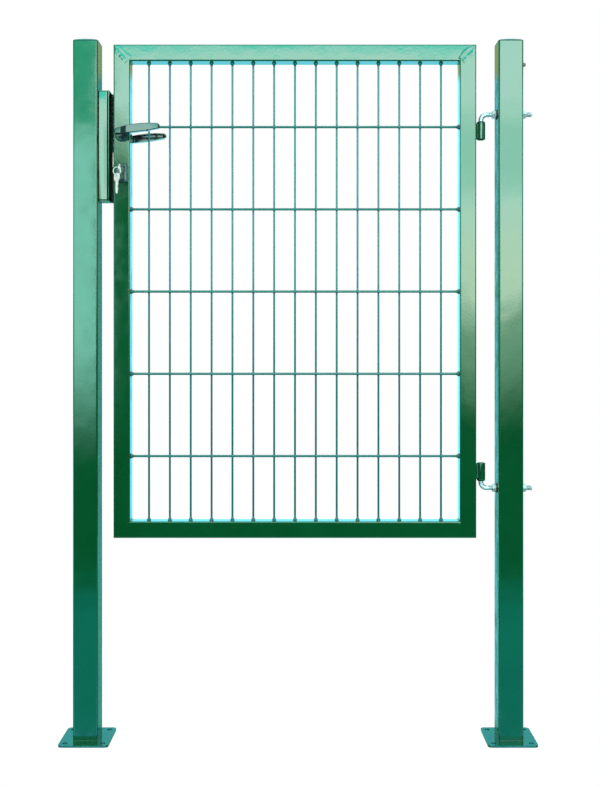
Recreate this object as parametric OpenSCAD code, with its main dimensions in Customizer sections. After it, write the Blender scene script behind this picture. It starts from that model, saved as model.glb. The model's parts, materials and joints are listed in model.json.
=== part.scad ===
/* [Posts] */
// Clear width between the two posts
opening_w = 965; // [860:1:1300]
// Side of the square post tube
post_w = 60; // [56:1:80]
// Wall of the post tube
post_wall = 2; // [1.5:0.5:4]
// Outer corner radius of the post tube
post_corner_r = 4; // [3:0.5:6]
// Height of the post tube's top above the ground
post_h = 1690; // [1400:1:1900]

/* [Base plates] */
// Side of the square base plate
plate_w = 120; // [112:1:160]
// Thickness of the base plate
plate_t = 5; // [4:0.5:10]
// Corner radius of the base plate
plate_corner_r = 10; // [4:1:14]
// Distance between neighbouring anchor holes
plate_hole_pitch = 90; // [84:1:94]
// Diameter of an anchor hole
plate_hole_d = 12; // [9:0.5:14]

/* [Post caps] */
// Thickness of the cap's lid
cap_t = 6; // [4:0.5:10]
// Width of the bevel round the lid
cap_bevel = 2; // [1:0.5:3]
// Depth of the collar inside the tube
cap_collar_h = 12; // [8:1:20]
// Wall of the collar
cap_collar_wall = 3; // [2:0.5:5]
// Play between collar and tube
cap_play = 0.2; // [0.1:0.05:0.4]

/* [Leaf frame] */
// Height of the leaf
leaf_h = 1193; // [1000:1:1300]
// How far the leaf's upper edge lies below the top of the post tubes
leaf_drop = 6; // [0:1:100]
// Side of the square frame tube
frame_w = 40; // [38:1:44]
// Wall of the frame tube
frame_wall = 2; // [1.5:0.5:3]
// Outer corner radius of the frame tube
frame_corner_r = 3; // [2:0.5:4]
// Gap between the latch post and the leaf
latch_gap = 36; // [33:0.5:40]

/* [Mesh] */
// Distance between neighbouring upright wires
mesh_pitch_w = 50.8; // [40:0.1:80]
// Distance between neighbouring cross wires
mesh_pitch_h = 200; // [120:1:240]
// Diameter of an upright wire
upright_wire_d = 5; // [4:0.5:7]
// Diameter of a cross wire
cross_wire_d = 6; // [4:0.5:8]
// How deep crossing wires are welded into each other
weld_depth = 0.8; // [0.4:0.1:1.2]

/* [Hinges] */
// Diameter of the hooked hinge bolts
hinge_bolt_d = 12; // [10:1:14]
// Distance from the hinge post to the hinge axis
hinge_reach = 38; // [37:0.5:50]
// Distance from the hinge axis to the leaf
hinge_edge = 14; // [11:0.5:15]
// Bend radius at the middle of the bolt
hinge_bend_r = 14; // [12:0.5:18]
// Distance of the upper hinge bolt below the leaf's upper edge
upper_bolt_drop = 166; // [80:1:240]
// Height of the lower hinge bolt above the leaf's lower edge
lower_bolt_rise = 119; // [80:1:240]
// Outer diameter of a hinge barrel
barrel_d = 21; // [18:0.5:22]
// Length of a hinge barrel
barrel_l = 45; // [35:1:60]
// Radius of the round shoulder at the barrel's hook end
barrel_shoulder = 4; // [2:0.5:4]
// Gap between the bend and the barrel
barrel_gap = 2.5; // [1:0.5:4]
// Width of the weld between barrel and leaf
barrel_weld_w = 10; // [6:1:14]
// Running play between pin and barrel, on the radius
pin_play = 0.06; // [0.03:0.01:0.1]
// How far the pin stops short of the barrel's far end
pin_short = 3; // [1:0.5:8]
// Nut size across flats
nut_w = 18; // [16:0.5:22]
// Nut thickness
nut_t = 9; // [7:0.5:10]
// Washer diameter
washer_d = 24; // [23:1:30]
// Washer thickness
washer_t = 2; // [1.5:0.5:3]
// Play between bolt and nut, washer or post, on the radius
bolt_play = 0.15; // [0.05:0.05:0.5]
// Bolt end past the outer nut
stud_end = 15; // [5:1:18]

/* [Side screw] */
// Distance of the side screw below the top of the post tube
side_screw_drop = 55; // [40:1:100]
// Distance of the side screw from the middle of the post, towards the front
side_screw_off = 18; // [0:0.5:20]
// Diameter of the side screw's round head
side_screw_head_d = 10; // [8.5:0.5:12]
// Height of the side screw's head
side_screw_head_h = 8; // [5:0.5:8.5]
// Diameter of the side screw's shank
side_screw_d = 5; // [4:0.5:6]

/* [Strike] */
// Height of the strike
strike_h = 268; // [240:1:300]
// Distance from the strike's lower end to the middle of the bolt
strike_below_bolt = 102; // [90:1:120]
// Width of the strike's front, from the post
strike_w = 25; // [22:0.5:27]
// Sheet thickness of the strike
strike_wall = 2; // [1.5:0.5:3]
// Outer radius of the bend at the strike's front
strike_bend_r = 3; // [3:0.5:5]
// Depth of the lip turned back from the strike's front
strike_lip = 10; // [6:0.5:12]
// How far the stop reaches behind the leaf
stop_lap = 4; // [3:0.5:4.5]
// Thickness of the rubber buffer
buffer_t = 4; // [3:0.5:6]
// Width of the rubber buffer
buffer_w = 20; // [12:1:26]
// Gap between the closed leaf and the buffer
buffer_gap = 0.3; // [0.2:0.1:0.6]
// Clearance of the stop round the rear rosette and escutcheon
stop_clear = 5; // [5:0.5:8]

/* [Lock] */
// Distance of the lever axis below the leaf's upper edge
lever_drop = 219; // [200:1:240]
// Distance from the lever axis to the key axis
lever_to_key = 85; // [85:1:96]
// Distance from the lever axis to the middle of the bolt
lever_to_bolt = 57; // [50:1:60]
// Height of the lock's faceplate
faceplate_h = 245; // [235:1:260]
// Width of the lock's faceplate
faceplate_w = 24; // [20:0.5:26]
// Thickness of the lock's faceplate
faceplate_t = 3; // [2:0.5:4]
// Height of the faceplate's middle above the middle of the bolt
faceplate_rise = 32; // [25:1:36]
// How far the lock case reaches below the lock cylinder
case_margin = 15.5; // [8:0.5:20]
// Depth of the lock case inside the stile
case_d = 32; // [30:0.5:33]
// Thickness of the lock case
case_t = 20; // [18:0.5:24]
// Play round pieces let into each other
seat_play = 0.2; // [0.1:0.05:0.4]

/* [Bolt] */
// Height of the lock bolt
bolt_h = 35; // [28:0.5:37]
// Thickness of the lock bolt
bolt_t = 8; // [6:0.5:10]
// Length of the lock bolt
bolt_l = 28; // [26:0.5:30]
// How far the drawn bolt stands out of the leaf
bolt_out = 5; // [2:0.5:6]
// Sliding play round the bolt
bolt_slide_play = 0.3; // [0.2:0.05:0.5]

/* [Levers] */
// Diameter of a lever rosette
rosette_d = 33; // [28:0.5:34]
// Thickness of a lever rosette
rosette_t = 6; // [4:0.5:8]
// Width of the rosette's bevel
rosette_bevel = 2; // [1:0.5:3]
// Diameter of the lever's neck
neck_d = 20; // [16:0.5:22]
// Length of the neck from the rosette to the lever's bar
neck_l = 30; // [25:0.5:40]
// Length of the bar from the lever axis to its tip
lever_l = 98; // [80:1:120]
// Length of the bar behind the lever axis
lever_heel = 10; // [10:0.5:12]
// Greatest height of the bar
lever_h = 20; // [18:0.5:24]
// Height of the bar at its heel
lever_heel_h = 12; // [10:0.5:14]
// Height of the bar at its tip
lever_tip_h = 11; // [8:0.5:14]
// Rise of the bar's middle line at its tip
lever_rise = 13; // [8:0.5:18]
// Share of the length at which the bar is highest
lever_high_at = 0.5; // [0.4:0.05:0.6]
// Share of the rise that the bar has there
lever_high_rise = 0.65; // [0.5:0.05:0.8]
// Thickness of the bar
lever_t = 13; // [11:0.5:16]
// Wall of the bar round its hollow back
lever_wall = 2.5; // [2:0.25:3]
// Side of the square spindle
spindle_w = 8; // [7:0.5:9]
// How far rosette and stile reach in under the neck
neck_seat = 2; // [1:0.5:3]
// Running play between lever and rosette
lever_play = 0.3; // [0.2:0.05:0.5]

/* [Cylinder and keys] */
// Diameter of the lock cylinder's round part
cylinder_d = 17; // [16:0.5:18]
// Height of the lock cylinder's profile
cylinder_h = 33; // [31:0.5:34]
// Width of the lock cylinder's web
cylinder_web = 10; // [9:0.5:11]
// How far the lock cylinder stands out of the leaf
cylinder_out = 10; // [8:0.5:12]
// Diameter of the turning plug
plug_d = 13; // [12:0.5:14]
// Running play round the plug, on the radius
plug_play = 0.06; // [0.03:0.01:0.1]
// Width of an escutcheon
escutcheon_w = 28; // [22:0.5:32]
// Height of an escutcheon
escutcheon_h = 46; // [40:0.5:50]
// Thickness of an escutcheon
escutcheon_t = 6; // [4:0.5:7]
// Corner radius of an escutcheon
escutcheon_r = 2; // [1:0.5:4]
// Distance from the lock cylinder to a key's bow
key_shoulder = 4; // [3:0.5:6]
// Diameter of a key's bow
key_bow_d = 22; // [20:0.5:24]
// Thickness of a key
key_t = 2.2; // [1.8:0.1:2.6]
// Height of a key's blade
key_blade_h = 8; // [6:0.5:9]
// Length of a key's blade
key_blade_l = 24; // [20:1:28]
// Diameter of the hole in a key's bow
key_hole_d = 6; // [5.5:0.25:7]
// Distance from the hole's middle to the bow's edge
key_hole_edge = 4.5; // [4:0.25:6]
// Diameter of the key ring, at the middle of its wire
ring_d = 18; // [17:0.5:22]
// Diameter of the key ring's wire
ring_wire_d = 1.8; // [1.2:0.1:2]
// Lean of the ring to the left, in degrees
ring_lean = 40; // [20:5:60]
// Turn of the spare key about the upright, in degrees
spare_turn = 45; // [30:5:60]

/* [Hidden] */
$fn = 48;
bar_sides = 8;
over = 1;

hinge_x = -(post_w / 2 + hinge_reach);
latch_post_x = -(post_w + opening_w);
latch_face_x = latch_post_x + post_w / 2;
leaf_right = hinge_x - hinge_edge;
leaf_left = latch_face_x + latch_gap;
leaf_w = leaf_right - leaf_left;
leaf_top = post_h - leaf_drop;
leaf_bottom = leaf_top - leaf_h;
half_frame = frame_w / 2;

inner_w = leaf_w - 2 * frame_w;
inner_h = leaf_h - 2 * frame_w;
upright_count = floor(inner_w / mesh_pitch_w);
cross_count = floor(inner_h / mesh_pitch_h);
upright_y = (upright_wire_d - weld_depth) / 2;
cross_y = -(cross_wire_d - weld_depth) / 2;

upper_bolt_z = leaf_top - upper_bolt_drop;
lower_bolt_z = leaf_bottom + lower_bolt_rise;
pin_l = barrel_gap + barrel_l - pin_short;
bolt_hole_d = hinge_bolt_d + 2 * bolt_play;

lock_x = leaf_left + half_frame;
lever_z = leaf_top - lever_drop;
key_z = lever_z - lever_to_key;
bolt_z = lever_z - lever_to_bolt;
faceplate_z = bolt_z + faceplate_rise;
case_x = leaf_left + frame_wall;

strike_bottom = bolt_z - strike_below_bolt;
stop_y = half_frame + buffer_gap + buffer_t;
stop_reach = latch_gap + stop_lap;

neck_start = half_frame + rosette_t + lever_play;
bar_back = half_frame + rosette_t + neck_l;
spindle_end = bar_back;

cylinder_l = frame_w + 2 * cylinder_out;
cylinder_front = half_frame + cylinder_out;
cylinder_bottom = key_z + cylinder_d / 2 - cylinder_h;
case_h = 2 * (faceplate_z - cylinder_bottom + case_margin);
key_bow_r = key_bow_d / 2;
key_bow_y = -(cylinder_front + key_shoulder + key_bow_r);
ring_y = key_bow_y - key_bow_r + key_hole_edge;
escutcheon_z = key_z + (cylinder_d - cylinder_h) / 2;

// Rectangle with round corners, centred
module rounded_rect(w, h, r) {
    square([w - 2 * r, h], center = true);
    square([w, h - 2 * r], center = true);
    for (x = [-1, 1], y = [-1, 1])
        translate([x * (w / 2 - r), y * (h / 2 - r)])
            circle(r);
}

// Section of a square tube with round corners
module tube_section(w, wall, r) {
    difference() {
        rounded_rect(w, w, r);
        rounded_rect(w - 2 * wall, w - 2 * wall, max(r - wall, wall / 4));
    }
}

// Outline in X and Z carried along Y, from y0 to y1
module along_y(y0, y1) {
    translate([0, y1, 0])
        rotate([90, 0, 0])
            linear_extrude(y1 - y0)
                children();
}

// Round bar along X, from x0 to x1
module along_x(x0, x1, d) {
    translate([x0, 0, 0])
        rotate([0, 90, 0])
            cylinder(d = d, h = x1 - x0);
}

module post_tube() {
    translate([0, 0, plate_t])
        linear_extrude(post_h - plate_t)
            tube_section(post_w, post_wall, post_corner_r);
}

module hinge_post() {
    color("seagreen")
        difference() {
            post_tube();
            for (z = [upper_bolt_z, lower_bolt_z])
                translate([0, 0, z])
                    along_x(-post_w, post_w, bolt_hole_d);
            translate([0, -side_screw_off, post_h - side_screw_drop])
                along_x(0, post_w, side_screw_d + 2 * bolt_play);
        }
}

module latch_post() {
    color("seagreen")
        translate([latch_post_x, 0, 0])
            post_tube();
}

module base_plate(x) {
    color("seagreen")
        translate([x, 0, 0])
            difference() {
                linear_extrude(plate_t)
                    rounded_rect(plate_w, plate_w, plate_corner_r);
                for (i = [-1, 1], j = [-1, 1])
                    translate([i * plate_hole_pitch / 2, j * plate_hole_pitch / 2, -over])
                        cylinder(d = plate_hole_d, h = plate_t + 2 * over);
            }
}

// Bevelled profile of the lid, wider than the lid at its foot
module cap_profile() {
    half = post_w / 2;
    along_y(-post_w, post_w)
        polygon([
            [-half - over, -over], [half + over, -over],
            [half + over, cap_t - cap_bevel - over], [half - cap_bevel, cap_t],
            [cap_bevel - half, cap_t], [-half - over, cap_t - cap_bevel - over]
        ]);
}

module post_cap(x) {
    collar_w = post_w - 2 * post_wall - 2 * cap_play;
    bore_w = collar_w - 2 * cap_collar_wall;
    color("darkgreen")
        translate([x, 0, post_h]) {
            intersection() {
                linear_extrude(cap_t)
                    rounded_rect(post_w, post_w, post_corner_r);
                cap_profile();
                rotate([0, 0, 90])
                    cap_profile();
            }
            translate([0, 0, -cap_collar_h])
                linear_extrude(cap_collar_h)
                    difference() {
                        rounded_rect(collar_w, collar_w, post_corner_r);
                        square(bore_w, center = true);
                    }
        }
}

// Bolt through the post that bends into a hinge pin; the pin points up, or down where up is -1
module hinge_bolt(z, up) {
    stud_x = post_w / 2 + washer_t + nut_t + stud_end;
    bend_x = hinge_x + hinge_bend_r;
    color("silver")
        translate([0, 0, z]) {
            along_x(bend_x, stud_x, hinge_bolt_d);
            translate([bend_x, 0, up * hinge_bend_r])
                rotate([up * 90, 0, 0])
                    rotate([0, 0, 180])
                        rotate_extrude(angle = 90)
                            translate([hinge_bend_r, 0])
                                circle(d = hinge_bolt_d);
            translate([hinge_x, 0, up > 0 ? hinge_bend_r : -hinge_bend_r - pin_l])
                cylinder(d = hinge_bolt_d, h = pin_l);
        }
}

module hinge_nuts(z) {
    inner_x = -post_w / 2 - washer_t - nut_t;
    outer_x = post_w / 2 + washer_t;
    color("silver")
        for (x = [inner_x, outer_x])
            translate([x, 0, z])
                rotate([0, 90, 0])
                    difference() {
                        cylinder(d = nut_w / cos(30), h = nut_t, $fn = 6);
                        translate([0, 0, -over])
                            cylinder(d = bolt_hole_d, h = nut_t + 2 * over);
                    }
}

module hinge_washers(z) {
    color("gainsboro")
        for (x = [-post_w / 2 - washer_t, post_w / 2])
            translate([x, 0, z])
                difference() {
                    along_x(0, washer_t, washer_d);
                    along_x(-over, washer_t + over, bolt_hole_d);
                }
}

// Half section of the side screw's head, a ball cut flat where it meets the post
module side_screw_profile() {
    r = side_screw_head_d / 2;
    intersection() {
        translate([0, side_screw_head_h - r])
            circle(r);
        square([r, side_screw_head_h]);
    }
}

module side_screw() {
    color("silver")
        translate([post_w / 2, -side_screw_off, post_h - side_screw_drop]) {
            along_x(-2 * post_wall, side_screw_head_h / 2, side_screw_d);
            rotate([0, 90, 0])
                rotate_extrude()
                    side_screw_profile();
        }
}

// Section of the strike, from the post's face at x = 0
module strike_section() {
    depth = half_frame + stop_y + strike_wall;
    translate([0, -half_frame])
        square([strike_wall, depth]);
    translate([0, -half_frame])
        square([strike_w - strike_bend_r, strike_wall]);
    translate([strike_w - strike_bend_r, strike_bend_r - half_frame])
        intersection() {
            difference() {
                circle(strike_bend_r);
                circle(strike_bend_r - strike_wall);
            }
            translate([0, -strike_bend_r])
                square(strike_bend_r);
        }
    translate([strike_w - strike_wall, strike_bend_r - half_frame])
        square([strike_wall, strike_lip - strike_bend_r]);
    translate([0, stop_y])
        square([stop_reach, strike_wall]);
}

// Plate that closes the strike at its ends, with the bend's round corner
module strike_end(depth) {
    square([strike_w - strike_bend_r, depth]);
    translate([0, strike_bend_r])
        square([strike_w, depth - strike_bend_r]);
    translate([strike_w - strike_bend_r, strike_bend_r])
        circle(strike_bend_r);
}

// Room for the rear rosette and escutcheon beside the stop
module stop_room() {
    end_y = stop_y + strike_wall + over;
    translate([lock_x, 0, lever_z])
        along_y(0, end_y)
            circle(d = rosette_d + 2 * stop_clear);
    translate([lock_x, 0, escutcheon_z])
        along_y(0, end_y)
            square([escutcheon_w + 2 * stop_clear, escutcheon_h + 2 * stop_clear], center = true);
}

module strike() {
    depth = half_frame + stop_y + strike_wall;
    color("darkgreen")
        difference() {
            translate([latch_face_x, 0, strike_bottom]) {
                linear_extrude(strike_h)
                    strike_section();
                for (z = [0, strike_h - strike_wall])
                    translate([0, -half_frame, z])
                        linear_extrude(strike_wall)
                            strike_end(depth);
            }
            stop_room();
        }
}

module strike_buffer() {
    color("black")
        difference() {
            translate([latch_face_x + stop_reach - buffer_w, stop_y - buffer_t, strike_bottom + strike_wall])
                cube([buffer_w, buffer_t, strike_h - 2 * strike_wall]);
            stop_room();
        }
}

// Square tube along X with mitred ends; its long side is at z = 0
module mitred_tube(length) {
    intersection() {
        translate([0, 0, half_frame])
            rotate([90, 0, 90])
                linear_extrude(length)
                    tube_section(frame_w, frame_wall, frame_corner_r);
        along_y(-frame_w, frame_w)
            polygon([
                [-over, -over], [length + over, -over],
                [length - frame_w - over, frame_w + over], [frame_w + over, frame_w + over]
            ]);
    }
}

module top_rail() {
    color("seagreen")
        translate([leaf_right, 0, leaf_top])
            rotate([0, 180, 0])
                mitred_tube(leaf_w);
}

module bottom_rail() {
    color("seagreen")
        translate([leaf_left, 0, leaf_bottom])
            mitred_tube(leaf_w);
}

module hinge_stile() {
    color("seagreen")
        translate([leaf_right, 0, leaf_bottom])
            rotate([0, -90, 0])
                mitred_tube(leaf_h);
}

// Profile of the lock cylinder, widened all round by play
module cylinder_profile(play) {
    web_r = cylinder_web / 2 + play;
    web_z = cylinder_d / 2 + cylinder_web / 2 - cylinder_h;
    circle(d = cylinder_d + 2 * play);
    translate([-web_r, web_z])
        square([2 * web_r, -web_z]);
    translate([0, web_z])
        circle(web_r);
}

module lock_stile() {
    slot_w = faceplate_w + 2 * seat_play;
    slot_h = faceplate_h + 2 * seat_play;
    spindle_hole_d = neck_d - 2 * neck_seat;
    color("seagreen")
        difference() {
            translate([leaf_left, 0, leaf_top])
                rotate([0, 90, 0])
                    mitred_tube(leaf_h);
            translate([leaf_left - over, -slot_w / 2, faceplate_z - slot_h / 2])
                cube([frame_wall + 2 * over, slot_w, slot_h]);
            translate([lock_x, 0, lever_z])
                along_y(-frame_w, frame_w)
                    circle(d = spindle_hole_d);
            translate([lock_x, 0, key_z])
                along_y(-frame_w, frame_w)
                    cylinder_profile(seat_play);
        }
}

// Position of wire i out of count, from the middle of the field
function wire_at(i, count, pitch) = (i - (count - 1) / 2) * pitch;

module mesh_panel() {
    middle_x = (leaf_left + leaf_right) / 2;
    middle_z = (leaf_bottom + leaf_top) / 2;
    color("seagreen")
        translate([middle_x, 0, middle_z]) {
            for (i = [0 : upright_count - 1])
                translate([wire_at(i, upright_count, mesh_pitch_w), upright_y, -inner_h / 2])
                    cylinder(d = upright_wire_d, h = inner_h, $fn = bar_sides);
            for (i = [0 : cross_count - 1])
                translate([-inner_w / 2, cross_y, wire_at(i, cross_count, mesh_pitch_h)])
                    rotate([0, 90, 0])
                        cylinder(d = cross_wire_d, h = inner_w, $fn = bar_sides);
        }
}

// Half section of a barrel, its round shoulder at the upper end
module barrel_profile() {
    side = barrel_d / 2 - barrel_shoulder;
    square([barrel_d / 2, barrel_l - barrel_shoulder]);
    square([side, barrel_l]);
    translate([side, barrel_l - barrel_shoulder])
        circle(barrel_shoulder);
}

// Barrel round the hinge pin, with the weld that joins it to the leaf; its shoulder points up
module hinge_barrel() {
    color("seagreen")
        difference() {
            union() {
                rotate_extrude()
                    barrel_profile();
                translate([-hinge_edge, -barrel_weld_w / 2, 0])
                    cube([hinge_edge, barrel_weld_w, barrel_l - barrel_shoulder]);
            }
            translate([0, 0, -over])
                cylinder(d = hinge_bolt_d + 2 * pin_play, h = barrel_l + 2 * over);
        }
}

module upper_barrel() {
    translate([hinge_x, 0, upper_bolt_z - hinge_bend_r - barrel_gap - barrel_l])
        hinge_barrel();
}

module lower_barrel() {
    translate([hinge_x, 0, lower_bolt_z + hinge_bend_r + barrel_gap + barrel_l])
        mirror([0, 0, 1])
            hinge_barrel();
}

// Room for the bolt, open towards the latch post
module bolt_room(depth) {
    w = bolt_t + 2 * bolt_slide_play;
    h = bolt_h + 2 * bolt_slide_play;
    translate([leaf_left - frame_w, -w / 2, bolt_z - h / 2])
        cube([frame_w + depth, w, h]);
}

module lock_case() {
    follower_d = spindle_w * sqrt(2) + 2 * plug_play;
    color("gray")
        difference() {
            translate([case_x, -case_t / 2, faceplate_z - case_h / 2])
                cube([case_d, case_t, case_h]);
            bolt_room(bolt_l - bolt_out + bolt_slide_play);
            translate([lock_x, 0, lever_z])
                along_y(-frame_w, frame_w)
                    circle(d = follower_d);
            translate([lock_x, 0, key_z])
                along_y(-frame_w, frame_w)
                    cylinder_profile(seat_play);
        }
}

module lock_faceplate() {
    color("silver")
        difference() {
            translate([case_x - faceplate_t, -faceplate_w / 2, faceplate_z - faceplate_h / 2])
                cube([faceplate_t, faceplate_w, faceplate_h]);
            bolt_room(bolt_l);
        }
}

// Bevelled disc on the leaf's face, round the lever's neck
module rosette() {
    r = rosette_d / 2;
    bore_r = neck_d / 2 - neck_seat;
    color("darkgreen")
        translate([lock_x, -half_frame, lever_z])
            rotate([90, 0, 0])
                rotate_extrude()
                    polygon([
                        [bore_r, 0], [r, 0], [r, rosette_t - rosette_bevel],
                        [r - rosette_bevel, rosette_t], [bore_r, rosette_t]
                    ]);
}

module front_rosette() {
    rosette();
}

module rear_rosette() {
    mirror([0, 1, 0])
        rosette();
}

module escutcheon() {
    color("darkslategray")
        difference() {
            translate([lock_x, 0, escutcheon_z])
                along_y(-half_frame - escutcheon_t, -half_frame)
                    rounded_rect(escutcheon_w, escutcheon_h, escutcheon_r);
            translate([lock_x, 0, key_z])
                along_y(-frame_w, 0)
                    cylinder_profile(seat_play);
        }
}

module front_escutcheon() {
    escutcheon();
}

module rear_escutcheon() {
    mirror([0, 1, 0])
        escutcheon();
}

module lock_cylinder() {
    color("lightgray")
        translate([lock_x, 0, key_z])
            difference() {
                along_y(-cylinder_l / 2, cylinder_l / 2)
                    cylinder_profile(0);
                along_y(-cylinder_l, 0)
                    circle(d = plug_d + 2 * plug_play);
            }
}

// Middle and radius of the circle through three points
function circle_middle(a, b, c) =
    let (
        u = b - a,
        v = c - a,
        d = 2 * (u.x * v.y - u.y * v.x),
        uu = u * u,
        vv = v * v
    )
    a + [v.y * uu - u.y * vv, u.x * vv - v.x * uu] / d;

// Outline of the lever's bar: two arcs between a straight heel and tip, drawn in by inset
module lever_outline(inset) {
    mid_x = lever_l * lever_high_at;
    mid_z = lever_rise * lever_high_rise;
    top_a = [-lever_heel, lever_heel_h / 2];
    top_b = [mid_x, mid_z + lever_h / 2];
    top_c = [lever_l, lever_rise + lever_tip_h / 2];
    low_a = [-lever_heel, -lever_heel_h / 2];
    low_b = [mid_x, mid_z - lever_h / 2];
    low_c = [lever_l, lever_rise - lever_tip_h / 2];
    top_middle = circle_middle(top_a, top_b, top_c);
    low_middle = circle_middle(low_a, low_b, low_c);
    intersection() {
        translate(top_middle)
            circle(norm(top_a - top_middle) - inset, $fn = 200);
        translate(low_middle)
            circle(norm(low_a - low_middle) - inset, $fn = 200);
        translate([inset - lever_heel, -lever_l])
            square([lever_l + lever_heel - 2 * inset, 2 * lever_l]);
    }
}

// Lever on the front of the leaf: neck with a square socket, and a bar with a hollow back
module lever() {
    color("mediumseagreen")
        translate([lock_x, 0, lever_z])
            difference() {
                union() {
                    along_y(-bar_back - over, -neck_start)
                        circle(d = neck_d);
                    difference() {
                        along_y(-bar_back - lever_t, -bar_back)
                            lever_outline(0);
                        difference() {
                            along_y(-bar_back - lever_t + lever_wall, over - bar_back)
                                lever_outline(lever_wall);
                            along_y(-bar_back - lever_t, 2 * over - bar_back)
                                circle(d = neck_d);
                        }
                    }
                }
                along_y(-spindle_end, 0)
                    square(spindle_w, center = true);
            }
}

module front_lever() {
    lever();
}

module rear_lever() {
    mirror([0, 1, 0])
        lever();
}

module lever_spindle() {
    color("gray")
        translate([lock_x, 0, lever_z])
            along_y(-spindle_end, spindle_end)
                square(spindle_w, center = true);
}

module lock_bolt() {
    color("lightgray")
        translate([leaf_left - bolt_out, -bolt_t / 2, bolt_z - bolt_h / 2])
            cube([bolt_l, bolt_t, bolt_h]);
}

// Keyway through the plug, open below
module keyway() {
    along_y(-cylinder_front - over, over)
        square([key_t + 2 * plug_play, key_blade_h + 2 * plug_play], center = true);
}

module cylinder_plug() {
    color("darkgoldenrod")
        translate([lock_x, 0, key_z])
            difference() {
                along_y(-cylinder_front, -plug_play)
                    circle(d = plug_d);
                keyway();
            }
}

// Flat key with its blade along +X from the bow's middle, lying in X and Y
module key_outline() {
    blade_x = key_bow_r + key_shoulder;
    hole_x = key_hole_edge - key_bow_r;
    difference() {
        union() {
            circle(d = key_bow_d);
            translate([0, -key_blade_h / 2])
                square([blade_x + key_blade_l, key_blade_h]);
        }
        translate([hole_x, 0])
            circle(d = key_hole_d);
    }
}

module lock_key() {
    color("silver")
        translate([lock_x, key_bow_y, key_z])
            rotate([0, 0, 90])
                rotate([90, 0, 0])
                    translate([0, 0, -key_t / 2])
                        linear_extrude(key_t)
                            key_outline();
}

// Middle of the ring, which hangs from the key's hole and leans to the left
ring_middle = [lock_x - ring_d / 2 * sin(ring_lean), ring_y, key_z - ring_d / 2 * cos(ring_lean)];

module key_ring() {
    color("silver")
        translate(ring_middle)
            rotate([90, 0, 0])
                rotate_extrude()
                    translate([ring_d / 2, 0])
                        circle(d = ring_wire_d);
}

module spare_key() {
    drop = ring_d / 2 + key_bow_r - key_hole_edge;
    color("silver")
        translate(ring_middle - [0, 0, drop])
            rotate([0, 90, spare_turn])
                translate([0, 0, -key_t / 2])
                    linear_extrude(key_t)
                        key_outline();
}

hinge_post();
latch_post();
base_plate(0);  // hinge_post_plate
base_plate(latch_post_x);  // latch_post_plate
post_cap(0);  // hinge_post_cap
post_cap(latch_post_x);  // latch_post_cap
hinge_bolt(upper_bolt_z, -1);  // upper_hinge_bolt
hinge_bolt(lower_bolt_z, 1);  // lower_hinge_bolt
hinge_nuts(upper_bolt_z);  // upper_hinge_nuts
hinge_nuts(lower_bolt_z);  // lower_hinge_nuts
hinge_washers(upper_bolt_z);  // upper_hinge_washers
hinge_washers(lower_bolt_z);  // lower_hinge_washers
side_screw();
strike();
strike_buffer();
top_rail();
bottom_rail();
hinge_stile();
lock_stile();
mesh_panel();
upper_barrel();
lower_barrel();
lock_case();
lock_faceplate();
front_rosette();
rear_rosette();
front_escutcheon();
rear_escutcheon();
lock_cylinder();
front_lever();
rear_lever();
lever_spindle();
lock_bolt();
cylinder_plug();
lock_key();
key_ring();
spare_key();
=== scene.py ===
import json
import bpy
import numpy as np
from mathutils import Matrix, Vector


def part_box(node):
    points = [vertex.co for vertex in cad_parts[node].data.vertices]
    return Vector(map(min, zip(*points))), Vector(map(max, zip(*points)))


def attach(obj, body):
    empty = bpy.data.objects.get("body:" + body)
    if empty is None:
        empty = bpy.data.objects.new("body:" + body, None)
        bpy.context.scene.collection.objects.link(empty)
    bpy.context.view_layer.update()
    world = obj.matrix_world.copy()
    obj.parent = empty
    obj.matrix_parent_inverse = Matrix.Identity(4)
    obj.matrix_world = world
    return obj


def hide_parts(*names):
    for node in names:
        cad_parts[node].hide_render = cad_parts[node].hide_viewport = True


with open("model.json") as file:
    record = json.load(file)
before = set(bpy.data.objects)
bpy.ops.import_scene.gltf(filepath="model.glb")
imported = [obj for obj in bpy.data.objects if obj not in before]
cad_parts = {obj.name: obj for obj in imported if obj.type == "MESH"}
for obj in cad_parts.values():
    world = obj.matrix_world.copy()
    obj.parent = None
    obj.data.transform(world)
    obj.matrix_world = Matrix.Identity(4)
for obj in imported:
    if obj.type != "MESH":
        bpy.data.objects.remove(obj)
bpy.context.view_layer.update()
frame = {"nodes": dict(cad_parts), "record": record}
nodes = frame["nodes"]

# Places that several pieces share, in metres

half_tube = 0.02
half_post = 0.03
lever_at = np.array([-0.939, 0, 1.465])
key_at = np.array([-0.939, 0, 1.380])
key_plate_drop = 0.008


def corners(node):
    """Lowest and highest corner of a node as two arrays."""
    low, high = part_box(node)
    return np.array(low), np.array(high)


# Surfaces

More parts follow.
